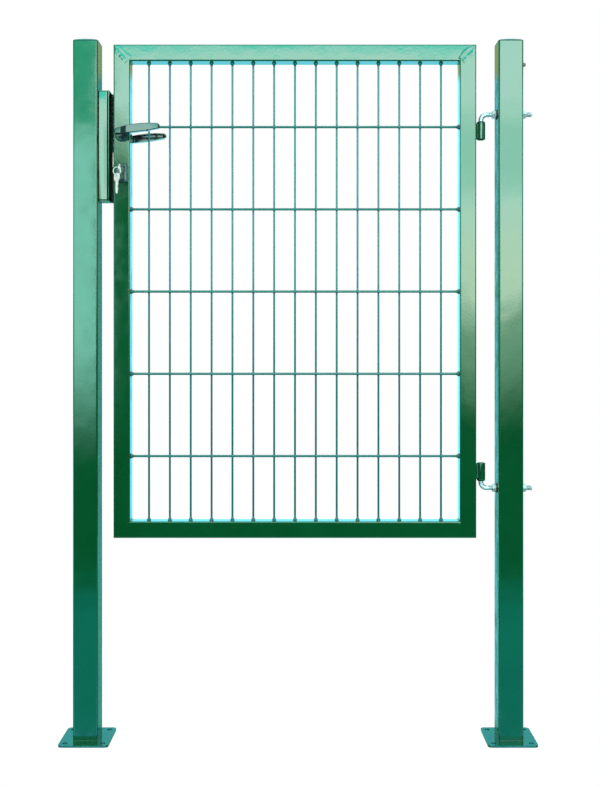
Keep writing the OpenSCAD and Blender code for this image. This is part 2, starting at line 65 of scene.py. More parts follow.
def skin(points, loop_rows=False):
    """Closed skin over a grid [rows, columns, 3]: each quad joins four neighbours, and the columns run round.
    The rows run round too where asked; otherwise a fan round its middle closes the first and the last row.
    The skin is turned to face outwards."""
    points = np.asarray(points, float)
    rows, columns = points.shape[:2]
    index = np.arange(rows * columns).reshape(rows, columns)
    if loop_rows:
        index = np.concatenate([index, index[:1]])
    index = np.concatenate([index, index[:, :1]], axis=1)
    quads = np.stack([index[:-1, :-1], index[:-1, 1:], index[1:, 1:], index[1:, :-1]], -1).reshape(-1, 4)
    vertices = points.reshape(-1, 3)
    fans = np.zeros((0, 3), int)
    if not loop_rows:
        middle = len(vertices)
        vertices = np.concatenate([vertices, points[:1].mean(1), points[-1:].mean(1)])
        first = np.stack([index[0, 1:], index[0, :-1], np.full(columns, middle)], -1)
        last = np.stack([index[-1, :-1], index[-1, 1:], np.full(columns, middle + 1)], -1)
        fans = np.concatenate([first, last])
    triangles = np.concatenate([quads[:, [0, 1, 2]], quads[:, [0, 2, 3]], fans])
    a, b, c = (vertices[triangles[:, k]] - vertices.mean(0) for k in range(3))
    if np.einsum("ij,ij->", a, np.cross(b, c)) < 0:
        quads, fans = quads[:, ::-1], fans[:, ::-1]
    return vertices, quads, fans


def piece(name, skins, material, body, stands_for=()):
    """One object from several skins, shaded smooth except over edges sharper than 35 degrees."""
    vertices, faces, start = [], [], 0
    for points, quads, fans in skins:
        vertices.append(points)
        faces += (quads + start).tolist() + (fans + start).tolist()
        start += len(points)
    mesh = bpy.data.meshes.new(name)
    mesh.from_pydata(np.concatenate(vertices).tolist(), [], faces)
    mesh.shade_smooth()
    mesh.set_sharp_from_angle(angle=np.radians(35))
    mesh.materials.append(material)
    made = bpy.data.objects.new(name, mesh)
    bpy.context.scene.collection.objects.link(made)
    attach(made, body)
    if stands_for:
        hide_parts(*stands_for)
    return made


def turn(count):
    """Angles once round, without the last one."""
    return np.linspace(0, 2 * np.pi, count, endpoint=False)


def line(start, end, count):
    """Evenly spaced points from start to end."""
    start, end = np.array(start, float), np.array(end, float)
    return start + np.linspace(0, 1, count)[:, None] * (end - start)


def set_in(points, origin, u, v):
    """Points in their own axes set into place: the first axis along u, the second along v, the third square to
    both."""
    u, v = np.array(u, float), np.array(v, float)
    return np.array(origin, float) + points @ np.array([u, v, np.cross(u, v)])


def turned(radius, height, sides):
    """Turned surface: a radius and a height for each row, or for each row and angle, carried round the third axis."""
    f = turn(sides)
    radius, height = (np.reshape(np.asarray(v, float), (len(v), -1)) * np.ones(sides) for v in (radius, height))
    return np.stack([radius * np.cos(f), radius * np.sin(f), height], -1)


def rounded(a, b, r, corner=6, side=8):
    """Loop of points round a rectangle with half sides a and b: a quarter circle at each corner, and evenly split
    sides."""
    q = np.radians(np.linspace(0, 90, corner + 1)) + np.radians([[0], [90], [180], [270]])
    centre = np.array([[1, 1], [-1, 1], [-1, -1], [1, -1]]) * [a - r, b - r]
    arcs = centre[:, None] + r * np.stack([np.cos(q), np.sin(q)], -1)
    share = np.linspace(0, 1, side + 2)[1:-1, None]
    sides = arcs[:, -1:] * (1 - share) + np.roll(arcs[:, :1], -1, axis=0) * share
    return np.concatenate([arcs, sides], axis=1).reshape(-1, 2)


def stacked(rows):
    """Rounded rectangles of half sides a and b and corner radius r stacked at their heights along the third axis."""
    loops = [rounded(a, b, r) for a, b, r, height in rows]
    return np.stack([np.column_stack([loop, np.full(len(loop), row[3])]) for loop, row in zip(loops, rows)])


def carried(path, hint, section, loop=False):
    """Section carried along a path: its first coordinate is set off sideways, its second towards the hint."""
    path = np.asarray(path, float)
    tangent = np.roll(path, -1, 0) - np.roll(path, 1, 0) if loop else np.gradient(path, axis=0)
    side = np.cross(tangent, hint)
    side /= np.linalg.norm(side, axis=1, keepdims=True)
    out = np.cross(side, tangent)
    out /= np.linalg.norm(out, axis=1, keepdims=True)
    return path[:, None] + section[..., :1] * side[:, None] + section[..., 1:] * out[:, None]


def bead(path, hint, radius, loop=False):
    """Weld bead: a circle carried along a path, its radius rippled by a sine of the length and drawn in at open
    ends."""
    path = np.asarray(path, float)
    ripple = 0.0026
    s = np.concatenate([[0], np.cumsum(np.linalg.norm(np.diff(path, axis=0), axis=1))])
    r = radius * (1 + 0.10 * np.abs(np.sin(np.pi * s / ripple)) + 0.07 * np.sin(190 * s))
    if not loop:
        r = r * np.sqrt(np.clip(np.minimum(s, s[-1] - s) / radius, 0.08, 1))
    f = turn(12)
    return carried(path, hint, r[:, None, None] * np.stack([np.cos(f), np.sin(f)], -1), loop)


def ring_profile(bore, radius, height, edge):
    """Closed profile of a flat ring with rounded outer edges: radius and height of each row."""
    q = np.radians(np.linspace(0, 90, 5))
    r = np.concatenate([[bore], radius - edge + edge * np.sin(q), radius - edge + edge * np.cos(q), [bore]])
    h = np.concatenate([[0], edge - edge * np.cos(q), height - edge + edge * np.sin(q), [height]])
    return r, h


# Finishes

def node_tools(tree):
    """Functions for a node tree: one adds a node, and both set its inputs, by name or index, to a value or a link."""
    def put(node, key, value):
        by_index = key[0] == "i" and key[1:].isdigit()
        socket = node.inputs[int(key[1:])] if by_index else node.inputs[key.replace("_", " ")]
        if isinstance(value, bpy.types.NodeSocket):
            tree.links.new(value, socket)
        else:
            socket.default_value = value

    def add(kind, **inputs):
        node = tree.nodes.new(kind)
        for key, value in inputs.items():
            put(node, key, value)
        return node

    return add, put


def new_finish(name):
    """New node material with its shader and its node tools."""
    material = bpy.data.materials.new(name)
    material.use_nodes = True
    return material, material.node_tree.nodes["Principled BSDF"], *node_tools(material.node_tree)


def blotches(add, scale, detail=3.0, stretch=(1, 1, 1)):
    """Noise on Object coordinates."""
    place = add("ShaderNodeTexCoord").outputs["Object"]
    mapped = add("ShaderNodeMapping", Vector=place, Scale=stretch).outputs["Vector"]
    return add("ShaderNodeTexNoise", Vector=mapped, Scale=scale, Detail=detail).outputs["Fac"]


def between(add, factor, low, high):
    """Value that runs from low to high with a factor."""
    spread = add("ShaderNodeMapRange", Value=factor, From_Min=0.3, From_Max=0.7, To_Min=low, To_Max=high)
    return spread.outputs["Result"]


def tint(add, factor, first, second):
    """Colour that runs from first to second with a factor."""
    ramp = add("ShaderNodeValToRGB", Fac=factor)
    low, high = ramp.color_ramp.elements
    low.position, high.position = 0.3, 0.7
    low.color, high.color = (*first, 1), (*second, 1)
    return ramp.outputs["Color"]


def bumps(add, height, strength):
    """Normal from a height."""
    return add("ShaderNodeBump", Height=height, Strength=strength, Distance=0.0002).outputs["Normal"]


def coat(name, first, second, rough, peel, ior=1.6, waves=0.0):
    """Sprayed and baked coat: two near colours in soft blotches, slightly uneven gloss, and an orange-peel skin
    over slow waves of the sheet below."""
    material, shader, add, put = new_finish(name)
    put(shader, "Base_Color", tint(add, blotches(add, 9), first, second))
    put(shader, "Roughness", between(add, blotches(add, 30), *rough))
    put(shader, "IOR", ior)
    slow = add("ShaderNodeMath", i0=blotches(add, 24, 0.5), i1=waves, i2=blotches(add, 160, 1.5))
    slow.operation = "MULTIPLY_ADD"
    put(shader, "Normal", bumps(add, slow.outputs[0], peel))
    return material


def metal(name, first, second, rough, scale, stretch=(1, 1, 1), bare=1.0):
    """Bare or plated metal: two greys in blotches, and a fine grain in gloss and relief. A dull film hides what
    isn't bare."""
    material, shader, add, put = new_finish(name)
    put(shader, "Metallic", bare)
    put(shader, "Base_Color", tint(add, blotches(add, 60), first, second))
    fine = blotches(add, scale, 4.0, stretch)
    put(shader, "Roughness", between(add, fine, *rough))
    put(shader, "Normal", bumps(add, fine, 0.15))
    return material


upwards = (1, 1, 12)
green_coat = coat("green_coat", (0.0004, 0.042, 0.0110), (0.0007, 0.051, 0.0148), (0.04, 0.08), 0.1, waves=7.0)
# Wire coat: the frame's green made lighter and bluer, a painted light that stands in for the bright side light the
# wires catch
wire_coat_painted_light = coat("wire_coat_painted_light", (0.003, 0.074, 0.064), (0.005, 0.088, 0.077), (0.08, 0.14), 0.1)
dark_plastic = coat("dark_plastic", (0.003, 0.022, 0.020), (0.005, 0.034, 0.030), (0.16, 0.24), 0.2, 1.5)
# Cap plastic: partly the cap's own plastic colour, partly a painted reflection, lighter and bluer to stand in for the
# cyan light mirrored from above
cap_plastic_painted_reflection = coat("cap_plastic_painted_reflection", (0.006, 0.090, 0.078), (0.008, 0.112, 0.098), (0.2, 0.3), 0.1, 1.55)
lever_coat = coat("lever_coat", (0.009, 0.016, 0.016), (0.014, 0.023, 0.022), (0.08, 0.12), 0.06, 1.5)
rubber = coat("rubber", (0.010, 0.010, 0.011), (0.020, 0.020, 0.022), (0.55, 0.75), 0.5, 1.45)
zinc = metal("zinc", (0.44, 0.47, 0.49), (0.60, 0.63, 0.65), (0.30, 0.42), 500, bare=0.7)
dark_zinc = metal("dark_zinc", (0.060, 0.085, 0.080), (0.10, 0.13, 0.125), (0.35, 0.5), 400)
lock_steel = metal("lock_steel", (0.50, 0.48, 0.45), (0.64, 0.62, 0.58), (0.25, 0.40), 300, upwards, 0.6)
# Bolt: a pale beige finish, mostly dull; its light colour is partly painted light, so the bolt looks lit where it
# sits in shade between strike and leaf
bolt_nickel_painted_light = metal("bolt_nickel_painted_light", (0.84, 0.74, 0.60), (0.92, 0.83, 0.70), (0.32, 0.46), 300, upwards, 0.2)
key_nickel = metal("key_nickel", (0.48, 0.46, 0.44), (0.62, 0.60, 0.57), (0.26, 0.38), 700, bare=0.45)
screw_brass = metal("screw_brass", (0.17, 0.125, 0.085), (0.25, 0.185, 0.13), (0.30, 0.45), 400, bare=0.3)
dull_brass = metal("dull_brass", (0.045, 0.050, 0.042), (0.070, 0.075, 0.062), (0.34, 0.46), 400)

slot_finish = {
    "green_coat": green_coat, "green_plastic": dark_plastic, "zinc_steel": zinc,
    "lock_steel": lock_steel, "key_metal": key_nickel, "black_rubber": rubber,
}
for subpart in frame["record"]["subparts"]:
    node = nodes[subpart["node"]]
    node.data.materials.clear()
    node.data.materials.append(slot_finish[subpart["material_slot"]])
for node in ("hinge_post_cap", "latch_post_cap"):
    nodes[node].data.materials[0] = cap_plastic_painted_reflection
for node in ("lock_cylinder", "cylinder_plug"):
    nodes[node].data.materials[0] = dull_brass

# Mesh

upright_count, upright_pitch, upright_r, upright_y = 15, 0.0508, 0.0025, 0.0021
cross_count, cross_pitch, cross_r, cross_y = 5, 0.2, 0.003, -0.0026
knot_swell = 0.0004


def wire(start, end, radius, knots, swell, flare):
    """Round wire: a circle carried from start to end, its radius swollen by a bell curve at each knot
    and by half a bell curve at both ends, where it is welded on."""
    start, end = np.array(start, float), np.array(end, float)
    length = np.linalg.norm(end - start)
    along = (end - start) / length
    side = np.cross(along, [0, 1, 0])
    out = np.cross(side, along)
    knot_width, end_width = 0.003, 0.0045
    bells = (np.array(knots)[:, None] + np.linspace(-0.007, 0.007, 7)).ravel()
    tips = np.linspace(0, 0.009, 7)
    s = np.unique(np.clip(np.concatenate([tips, bells, length - tips]), 0, length))
    r = radius + swell * np.exp(-((s[:, None] - np.array(knots)) / knot_width) ** 2).sum(1)
    r = r + flare * (np.exp(-(s / end_width) ** 2) + np.exp(-((length - s) / end_width) ** 2))
    f = turn(12)
    ring = np.cos(f)[:, None] * side + np.sin(f)[:, None] * out
    return start + s[:, None, None] * along + r[:, None, None] * ring


low, high = corners("mesh_panel")
middle = (low + high) / 2
upright_x = middle[0] + upright_pitch * (np.arange(upright_count) - upright_count // 2)
cross_z = middle[2] + cross_pitch * (np.arange(cross_count) - cross_count // 2)
upright = wire([0, upright_y, low[2]], [0, upright_y, high[2]], upright_r, cross_z - low[2], knot_swell, 0.0030)
cross = wire([low[0], cross_y, 0], [high[0], cross_y, 0], cross_r, upright_x - low[0], knot_swell, 0.0036)
piece("mesh_wires",
      [skin(upright + [x, 0, 0]) for x in upright_x] + [skin(cross + [0, 0, z]) for z in cross_z],
      wire_coat_painted_light, "leaf", ["mesh_panel"])

# Welds of the leaf: ground over the mitres, hollow in the inner corners


def ground_weld(corner, inwards, face, seed):
    """Weld ground hollow over a mitre: along the mitre u and across it v, towards the stile. Across, the height goes
    with v squared times the square of one less v squared, so both sides swell and run out softly; on the rail's side
    it grows with the square of u towards the inner corner, on the stile's side it changes with two sines of u; sines
    of u also move both edges. Past the flat face it drops with the square of u. The upper welds are deeper than the
    lower ones. The underside lies inside the tube."""
    to_right, to_top = inwards
    u = np.linspace(0.0045, 0.0562, 70)[:, None]
    v = np.concatenate([[-1], np.linspace(-0.985, 0.985, 33), [1]])
    reach = np.minimum(0.0125, 0.9 * (u - 0.0042) + 0.0001)
    ragged = 1 + 0.08 * np.sin(520 * u + seed) + 0.04 * np.sin(1300 * u + 2 * seed)
    wavy = 0.86 + 0.16 * np.sin(150 * u + 2 + seed)
    side = reach * np.where(v < 0, wavy, ragged) * v
    swell = 6.75 * v ** 2 * (1 - v ** 2) ** 2
    rail_side = (0.0005 - 0.00044 * to_right) * (u / 0.0530) ** 2 * (1 + 0.4 * np.sin(210 * u + seed))
    stile_side = (0.00011 - 0.00005 * to_right) * (1 + 0.5 * np.sin(260 * u + seed) + 0.3 * np.sin(610 * u))
    stile_side = stile_side * np.clip(u / 0.02, 0, 1)
    height = 0.00004 + (0.55 - 0.45 * to_top) * swell * np.where(v < 0, rail_side, stile_side)
    height = height - 0.0030 * (np.maximum(u - 0.0526, 0) / 0.0036) ** 2 - 0.0002 * (np.abs(v) > 0.99)
    top = np.stack([u * np.ones_like(v), side, height], -1)
    below = np.stack([u * np.ones_like(v), side[:, ::-1], np.full_like(height, -0.0040)], -1)
    along = np.array([to_right, 0, to_top]) / np.sqrt(2)
    across = np.array([-to_right, 0, to_top]) / np.sqrt(2)
    local = np.concatenate([top, below], axis=1)
    return np.array([corner[0], face * half_tube, corner[1]]) + local @ np.array([along, across, [0, face, 0]])


def corner_fillet(inner, sx, sz):
    """Weld in an inner corner of the leaf: a hollow quarter circle between the two inner faces, carried through the
    leaf, its size rippled by a sine of the depth and drawn in at both ends."""
    half_length, sunk = 0.0172, -0.0005
    y = np.linspace(-half_length, half_length, 60)[:, None]
    size = 0.0050 * (1 + 0.06 * np.abs(np.sin(np.pi * y / 0.0026)))
    size = size * np.sqrt(np.clip((half_length - np.abs(y)) / 0.004, 0.1, 1))
    q = np.radians(np.linspace(0, 90, 9))
    a = np.concatenate([sunk + 0 * size, size * (1 - np.sin(q)), sunk + 0 * size], axis=1)
    b = np.concatenate([sunk + 0 * size, size * (1 - np.cos(q)), size], axis=1)
    return np.stack([inner[0] + sx * a, y * np.ones(a.shape[1]), inner[1] + sz * b], -1)


leaf_low, leaf_high = corners("bottom_rail")[0], corners("top_rail")[1]
welds, fillets = [], []
for x, sx in ((leaf_low[0], 1), (leaf_high[0], -1)):
    for z, sz in ((leaf_low[2], 1), (leaf_high[2], -1)):
        welds += [skin(ground_weld((x, z), (sx, sz), face, 3 * x + 5 * z + face)) for face in (-1, 1)]
        inner = (x + sx * 2 * half_tube, z + sz * 2 * half_tube)
        fillets.append(skin(corner_fillet(inner, sx, sz)))
piece("frame_welds", welds + fillets, green_coat, "leaf")

# Posts: weld round the foot, cap, screw on the outer side

cap_half = 0.0303
cap_rows = [
    (0.0276, -0.0100), (0.0276, 0.0), (0.0290, 0.0001), (0.0300, 0.0009), (cap_half, 0.0015), (0.0302, 0.0021),
    (0.0298, 0.0029), (0.0292, 0.0038), (0.0284, 0.0047), (0.0272, 0.0053), (0.0210, 0.0057), (0.0120, 0.0059),
    (0.0055, 0.0060),
]


def cap_lid():
    """Cap: rounded squares stacked from the collar to the bulging top; above its rim a point's height falls with the
    square of how near it lies to a corner."""
    lid = stacked([(a, a, 0.0046, h) for a, h in cap_rows])
    corner = np.minimum(np.abs(lid[..., 0]), np.abs(lid[..., 1])) / cap_half
    lid[..., 2] *= 1 - 0.35 * corner ** 2 * (lid[..., 2] > 0.0013)
    return lid


for side in ("hinge", "latch"):
    low, high = corners(side + "_post")
    middle = (low + high) / 2
    foot = np.pad(rounded(0.0301, 0.0301, 0.0042, 8, 60), ((0, 0), (0, 1)))
    foot = foot + [middle[0], middle[1], low[2] + 0.0003]
    piece(side + "_foot_weld", [skin(bead(foot, (0, 0, 1), 0.0006, loop=True), loop_rows=True)],
          green_coat, "posts")
    piece(side + "_cap", [skin(cap_lid() + [middle[0], middle[1], high[2]])],
          cap_plastic_painted_reflection, "posts", [side + "_post_cap"])

low, high = corners("side_screw")
middle = (low + high) / 2
q = np.radians(np.linspace(-34, 86, 22))
ball = turned(np.concatenate([[0.0034], 0.005 * np.cos(q)]),
              np.concatenate([[-0.0002], 0.003 + 0.005 * np.sin(q)]), 40)
piece("side_screw_head", [skin(set_in(ball, (half_post, middle[1], middle[2]), (0, 1, 0), (0, 0, 1)))],
      screw_brass, "posts", ["side_screw"])

# Hinges: hook bolts with a thread, nuts, washers, barrels

axis_x = -0.068
bend = 0.014
pin = 0.0445
bolt_r = 0.006
bolt_end = 0.056
thread_pitch, thread_depth = 0.00175, 0.0009
nut_x = (-0.041, 0.032)
washer_x = (-0.032, 0.03)


def hook_bolt(z, up):
    """Hook bolt: a circle carried along pin, bend and shank. On the shank the radius falls along a helix: by the
    triangle wave of length over pitch less angle, faded in where the thread starts. Both ends are bevelled."""
    pin_path = line([axis_x, 0, z + up * (bend + pin)], [axis_x, 0, z + up * bend], 24)
    q = np.linspace(0, np.pi / 2, 18)[1:-1]
    arc = np.stack([axis_x + bend * (1 - np.cos(q)), 0 * q, z + up * bend * (1 - np.sin(q))], -1)
    inner, outer = np.arange(-0.0520, -0.0400, 0.0002), np.arange(0.0405, 0.0560, 0.0002)
    x = np.concatenate([[axis_x + bend], inner, np.linspace(-0.036, 0.036, 9), outer, [bolt_end]])
    shank = np.stack([x, 0 * x, z + 0 * x], -1)
    path = np.concatenate([pin_path, arc, shank])
    along, rise = path[:, :1], np.abs(path[:, 2:] - z)
    f = turn(24)
    wave = np.abs((along / thread_pitch - up * f / (2 * np.pi)) % 1 - 0.5) * 2
    thread_start, fade, bevel = -0.051, 0.002, 0.0014
    start = np.clip((along - thread_start) / fade, 0, 1) * (rise < 1e-6)
    r = bolt_r - thread_depth * wave * start
    r = r - 0.0012 * np.clip((along - bolt_end + bevel) / bevel, 0, 1)
    r = r - 0.0010 * np.clip(1 - (bend + pin - rise) / bevel, 0, 1)
    section = r[..., None] * np.stack([np.cos(f), np.sin(f)], -1)
    return carried(path, (0, 1, 0), section)


def hex_nut(across, bore, height):
    """Nut: the radius is the hexagon's, cut off by a cone at both ends, with a bore."""
    f = turn(72)
    flat = across / 2 / np.cos((f + np.pi / 6) % (np.pi / 3) - np.pi / 6)
    t = np.concatenate([[0, 0], np.linspace(0.0001, 0.0012, 6), [height / 2],
                        height - np.linspace(0.0012, 0.0001, 6), [height, height]])
    cone = across / 2 * 0.95 + np.minimum(t, height - t)[:, None] * 1.73
    r = np.minimum(flat, cone)
    r[[0, -1]] = bore
    return turned(r, t, 72)


def barrel_with_welds(z, up):
    """Hinge barrel: a profile with a domed shoulder towards the hook and a round foot, turned round the hinge axis,
    with a tab and rippled beads that join it to the leaf."""
    q = np.radians(np.linspace(0, 90, 10))
    bore = 0.00606
    r = np.concatenate([[bore], 0.0080 + 0.0025 * np.sin(q), 0.0065 + 0.0040 * np.cos(q), [bore]])
    h = np.concatenate([[0.0012], 0.0025 - 0.0025 * np.cos(q), 0.0400 + 0.0050 * np.sin(q), [0.0450]])
    base = z + up * (bend + 0.0025 + 0.045)
    ring = set_in(turned(r, h, 64), (axis_x, 0, base), (1, 0, 0), (0, -up, 0))
    far, near = z + up * (bend + 0.0075), z + up * (bend + 0.0465)
    tab = set_in(stacked([(0.0045, 0.0048, 0.001, h) for h in (0, 0.037)]),
                 (axis_x - 0.0105, 0, min(far, near) + 0.001), (1, 0, 0), (0, 1, 0))
    joints = [bead(line([axis_x - x, y, far], [axis_x - x, y, near], 130), (0, 1, 0), size)
              for y in (-0.0050, 0.0050) for x, size in ((0.0128, 0.0023), (0.0088, 0.0021))]
    return [skin(ring, loop_rows=True), skin(tab)] + [skin(joint) for joint in joints]


nut = hex_nut(0.018, 0.0056, 0.009)
washer = turned(*ring_profile(0.0062, 0.012, 0.002, 0.0006), 48)
for hinge, up in (("upper", -1), ("lower", 1)):
    low, high = corners(hinge + "_hinge_nuts")
    z = (low[2] + high[2]) / 2
    piece(hinge + "_hook", [skin(hook_bolt(z, up))], zinc, "posts", [hinge + "_hinge_bolt"])
    nuts = [set_in(nut, (x, 0, z), (0, 0, 1), (0, -1, 0)) for x in nut_x]
    piece(hinge + "_nuts", [skin(points, loop_rows=True) for points in nuts],
          zinc, "posts", [hinge + "_hinge_nuts"])
    washers = [set_in(washer, (x, 0, z), (0, 1, 0), (0, 0, 1)) for x in washer_x]
    piece(hinge + "_washers", [skin(points, loop_rows=True) for points in washers],
          dark_zinc, "posts", [hinge + "_hinge_washers"])
    piece(hinge + "_hinge_barrel", barrel_with_welds(z, up), green_coat, "leaf", [hinge + "_barrel"])

# Strike and buffer on the latch post: sections in x and y for each height z

strike_low, strike_high = corners("strike")
post_face = strike_low[0]
bottom, top = strike_low[2], strike_high[2]


def stop_edge(z):
    """How far the stop reaches at a height: less in the rooms for the rear rosette and key plate, and round at both
    ends."""
    rose_room, plate_room, plate_edge, corner = 0.0215, 0.028, -0.958, 0.010
    from_rose = z - lever_at[2]
    rose_edge = lever_at[0] - np.sqrt(np.maximum(rose_room ** 2 - from_rose ** 2, 0))
    end = strike_high[0] * np.ones_like(z)
    end = np.where(np.abs(from_rose) < rose_room, np.minimum(end, rose_edge), end)
    end = np.where(np.abs(z - key_at[2] + key_plate_drop) < plate_room, np.minimum(end, plate_edge), end)
    d = np.clip(np.minimum(z - bottom, top - z), 0, corner)
    return end - (corner - np.sqrt(corner ** 2 - (corner - d) ** 2))


def strike_section(z):
    """Section of the strike: web on the post, a front plate between a sloped edge and a groove, and a lip. The plate
    leans back towards the leaf, falls back at both ends and bows slightly backwards near its upper end."""
    d = np.minimum(z - bottom, top - z)
    end_fall = 0.0022 * np.clip(1 - (d - 0.0015) / 0.0025, 0, 1)
    bow = 0.0017 * np.clip(1 - (top - z) / 0.12, 0, 1) ** 2
    front = -0.0200 + end_fall + bow
    x = 0.001 * np.array([0, 0, 0.5, 0.5, 0.7, 1.2, 1.5, 19.7, 20.0, 20.5, 20.8, 20.8, 21.8, 22.8, 22.8, 23.1, 24.7,
                          25.0, 25.0, 23.0, 23.0, 2.0, 2.0])
    web = np.array([0.0255, -0.0130, -0.0150])
    plate = np.array([0.0010, 0.0003, 0, 0, 0.0014, 0.0015, 0.0018])
    lip = np.array([-0.0140, -0.0125, -0.0140, -0.0182, -0.0186, -0.0186, -0.0182, -0.0100, -0.0100, -0.0115, -0.0115,
                    0.0255])
    y = np.concatenate([web + 0 * front, front + plate, np.minimum(front + 0.0025, -0.0142), lip + 0 * front], axis=1)
    return post_face + x + 0 * front, y


def flange_section(z):
    """Section of the stop: a flat strip from the web to the stop's edge."""
    end = stop_edge(z)
    x = np.concatenate([post_face + 0 * end, post_face + 0 * end, end + [-0.0004, 0, 0, -0.0004]], axis=1)
    y = np.array([0.0243, 0.0263, 0.0263, 0.0259, 0.0247, 0.0243])
    return x, y + 0 * x


def buffer_section(z):
    """Section of the rubber buffer: a flat strip with two round ribs towards the leaf, a cosine of the way across."""
    start, end = -0.975, stop_edge(z) - 0.0005
    q = np.linspace(0, 2 * np.pi, 25)
    across = start + (end - start) * (0.04 + 0.92 * q / (2 * np.pi))
    x = np.concatenate([across, end, end, start + 0 * end, start + 0 * end], axis=1)
    ribs = 0.0218 - 0.0014 * (1 - np.cos(2 * q)) / 2
    y = np.concatenate([ribs, [0.0230, 0.0243, 0.0243, 0.0230]])
    return x, y + 0 * x


def upright_strip(section, z):
    """Section given as a function of height, carried upwards."""
    x, y = section(z[:, None])
    return np.stack([x, y, z[:, None] + 0 * x], -1)


ends = np.array([0, 0.0005, 0.001, 0.0015, 0.002, 0.003, 0.004, 0.0055, 0.0075, 0.010])
heights = np.concatenate([bottom + ends, np.linspace(bottom + 0.012, top - 0.012, 100), top - ends[::-1]])
within = np.minimum(heights - bottom, top - heights)
end_half, end_thick = 0.0125, 0.002
end_plate = stacked([(end_half, 0.0205, 0.002, h) for h in (0.0, end_thick)])
end_plates = [skin(end_plate + [post_face + end_half, 0.0056, z]) for z in (bottom, top - end_thick)]
channel = skin(upright_strip(strike_section, heights[within > 0.0009]))
stop = skin(upright_strip(flange_section, heights))
piece("strike_channel", [channel, stop] + end_plates, green_coat, "posts", ["strike"])
piece("stop_pad", [skin(upright_strip(buffer_section, heights[within > 0.0021]))],
      rubber, "posts", ["strike_buffer"])

# Lock: faceplate screws, bolt, rosettes, key plates


def screw_head(radius, dome, slot, depth):
    """Domed screw head: height follows a quarter ellipse from the rim to the middle, and a cross of two slots is
    sunk round the middle where the smaller of the two coordinates is under the slot's half width."""
    sides = 48
    share = np.concatenate([[1, 1], np.linspace(0.98, 0.04, 26)])[:, None]
    f = turn(sides)
    r = radius * share * np.ones(sides)
    near = np.minimum(np.abs(r * np.cos(f)), np.abs(r * np.sin(f)))
    sunk = depth * np.clip((slot - near) / (0.4 * slot) + 0.5, 0, 1) * np.clip((0.62 - share) / 0.1, 0, 1)
    height = dome * (0.35 + 0.65 * np.sqrt(np.clip(1 - share ** 2, 0, 1))) - sunk
    height[0] = -0.0005
    return turned(r, height, sides)


low, high = corners("lock_faceplate")
screw = screw_head(0.0038, 0.0009, 0.0005, 0.0007)
screw_inset = 0.011
screws = [set_in(screw, (low[0], 0, z), (0, 0, 1), (0, 1, 0))
          for z in (low[2] + screw_inset, high[2] - screw_inset)]
piece("faceplate_screws", [skin(points) for points in screws], lock_steel, "leaf")

low, high = corners("lock_bolt")
middle, half = (low + high) / 2, (high - low) / 2
bevel = ((0.0010, 0.0), (0.0004, 0.0004), (0, 0.0014), (0, 2 * half[0]))
bar = stacked([(half[1] - inset, half[2] - inset, 0.0011, depth) for inset, depth in bevel])
piece("throw_bolt", [skin(set_in(bar, (low[0], middle[1], middle[2]), (0, 1, 0), (0, 0, 1)))],
      bolt_nickel_painted_light, "bolt", ["lock_bolt"])


def cylinder_reach(f):
    """Distance from the key plate's middle to the lock cylinder's profile: the further of the exits from its
    circle and from its web, which is a strip with a round end."""
    c, s = np.cos(f), np.sin(f)
    circle_up, circle_r, web_half, web_end = key_plate_drop, 0.0087, 0.0052, 0.0115
    circle = s * circle_up + np.sqrt(np.maximum((s * circle_up) ** 2 - circle_up ** 2 + circle_r ** 2, 0))
    strip = np.minimum(web_half / np.maximum(np.abs(c), 1e-9), np.where(s > 0, circle_up / np.maximum(s, 1e-9), 9.0))
    end = -s * web_end + np.sqrt(np.maximum((s * web_end) ** 2 - web_end ** 2 + web_half ** 2, 0))
    strip = np.where(strip * s < -web_end, end, strip)
    return np.maximum(circle, strip)


def key_plate():
    """Key plate: rounded rectangle with a rounded rim and a flat face, round the cylinder's profile."""
    a, b = 0.014, 0.023
    rim = [(0, 0.0), (0, 0.0034), (0.0003, 0.0044), (0.0010, 0.0053), (0.0020, 0.0059), (0.0032, 0.0060)]
    outer = stacked([(a - inset, b - inset, 0.0035, h) for inset, h in rim])
    f = np.arctan2(outer[0, :, 1], outer[0, :, 0])
    hole = cylinder_reach(f)[:, None] * np.stack([np.cos(f), np.sin(f)], -1)
    inner = [np.column_stack([hole * k, np.full(len(f), h)]) for k, h in ((1.06, 0.0060), (1.0, 0.0055), (1.0, 0.0))]
    return np.concatenate([outer, inner])


rose_r = [0.008, 0.0165, 0.0165, 0.0162, 0.0155, 0.0146, 0.0143,
          0.0142, 0.0140, 0.0133, 0.0122, 0.0112, 0.0108, 0.008]
rose_h = [0.0, 0.0, 0.0016, 0.0022, 0.0025, 0.0026, 0.0029,
          0.0044, 0.0052, 0.0057, 0.0060, 0.0060, 0.0054, 0.0054]
rose, plate = turned(rose_r, rose_h, 64), key_plate()
for place, face in (("front", -1), ("rear", 1)):
    rose_set = set_in(rose, lever_at + [0, face * half_tube, 0], (1, 0, 0), (0, 0, -face))
    piece(place + "_rose", [skin(rose_set, loop_rows=True)],
          dark_plastic, "leaf", [place + "_rosette"])
for place, face in (("front", -1), ("rear", 1)):
    plate_set = set_in(plate, key_at + [0, face * half_tube, -key_plate_drop], (-face, 0, 0), (0, 0, 1))
    piece(place + "_key_plate", [skin(plate_set, loop_rows=True)],
          dark_plastic, "leaf", [place + "_escutcheon"])

# Levers


